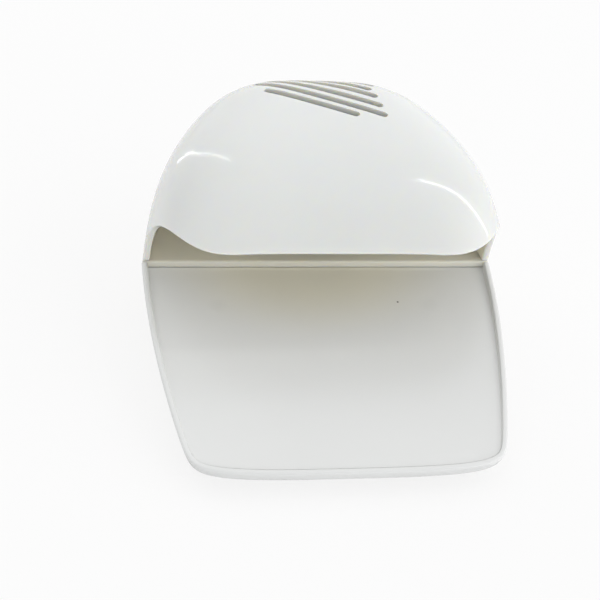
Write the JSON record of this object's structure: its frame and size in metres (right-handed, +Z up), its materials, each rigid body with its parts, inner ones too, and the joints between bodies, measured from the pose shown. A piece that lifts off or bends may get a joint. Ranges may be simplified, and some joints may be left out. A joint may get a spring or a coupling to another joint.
{
  "type": "nail polish dryer",
  "caption": "Battery fan dryer for nail polish: a rounded hood over a finger chamber, with a palm tray that is pressed to start the fan.",
  "frame": {"origin": "under the middle of the whole body, on the surface that it stands on", "axes": "+Y from the palm tray towards the hood's rear, +X to the right as seen from the front, +Z up"},
  "size_m": [0.116, 0.1436, 0.0662],
  "materials": {
    "gloss_white": "gloss",
    "satin_white": "satin",
    "inner_white": "satin",
    "fan_plastic": "satin",
    "grey_rubber": "matte",
    "bright_steel": "bright",
    "zinc_steel": "satin",
    "brass": "satin",
    "copper": "satin",
    "ferrite": "matte",
    "black_plastic": "satin",
    "cell_jacket": "gloss",
    "black_wire": "satin",
    "white_wire": "satin",
    "red_wire": "satin"
  },
  "bodies": {
    "base": {"base_screw_1": "zinc_steel", "base_screw_2": "zinc_steel", "base_screw_3": "zinc_steel", "base_screw_4": "zinc_steel", "battery_a": "cell_jacket", "battery_b": "cell_jacket", "bottom_shell": "satin_white", "bracket_screw_1": "zinc_steel", "bracket_screw_2": "zinc_steel", "bracket_screw_3": "zinc_steel", "chamber_floor": "satin_white", "chamber_liner": "inner_white", "contact_bridge": "zinc_steel", "contact_plate_negative": "zinc_steel", "contact_plate_positive": "zinc_steel", "contact_spring_a": "zinc_steel", "contact_spring_b": "zinc_steel", "fan_guard": "inner_white", "foot_front_left": "grey_rubber", "foot_front_right": "grey_rubber", "foot_rear_left": "grey_rubber", "foot_rear_right": "grey_rubber", "hinge_pin_left": "bright_steel", "hinge_pin_right": "bright_steel", "hood_screw_1": "zinc_steel", "hood_screw_2": "zinc_steel", "hood_shell": "gloss_white", "liner_screw_1": "zinc_steel", "liner_screw_2": "zinc_steel", "liner_screw_3": "zinc_steel", "liner_screw_4": "zinc_steel", "motor_bracket": "zinc_steel", "motor_bush": "copper", "motor_can": "bright_steel", "motor_end_cap": "black_plastic", "motor_magnet": "ferrite", "motor_screw_1": "zinc_steel", "motor_screw_2": "zinc_steel", "motor_terminal_left": "brass", "motor_terminal_right": "brass", "switch_body": "black_plastic", "switch_terminal_1": "brass", "switch_terminal_2": "brass", "tray_spring_left": "bright_steel", "tray_spring_right": "bright_steel", "wire_black": "black_wire", "wire_red": "red_wire", "wire_white": "white_wire"},
    "tray": {"press_tray": "satin_white"},
    "plunger": {"switch_plunger": "fan_plastic"},
    "fan": {"fan_impeller": "fan_plastic", "motor_shaft": "bright_steel", "motor_rotor": "copper"},
    "door": {"battery_door": "satin_white"}
  },
  "joints": [
    {"name": "tray_hinge", "type": "hinge", "parent": "base", "child": "tray", "pos_m": [0, 0.00775, 0.0115], "axis": [1, 0, 0], "range_deg": [0, 1.5], "stiffness_Nm_per_rad": 0.25, "springref_deg": -8.59, "deforming": ["tray_spring_left", "tray_spring_right"]},
    {"name": "plunger_slide", "type": "slide", "parent": "base", "child": "plunger", "axis": [0, 0, -1], "range_m": [0, 0.00065]},
    {"name": "fan_spin", "type": "hinge", "parent": "base", "child": "fan", "pos_m": [0, 0.02925, 0.0464], "axis": [0, 0, 1], "continuous": true},
    {"name": "door_slide", "type": "slide", "parent": "base", "child": "door", "axis": [0, 1, 0], "range_m": [0, 0.045]}
  ],
  "couplings": [
    {"joint": "plunger_slide", "follows": "tray_hinge", "m_per_rad": 0.024}
  ]
}
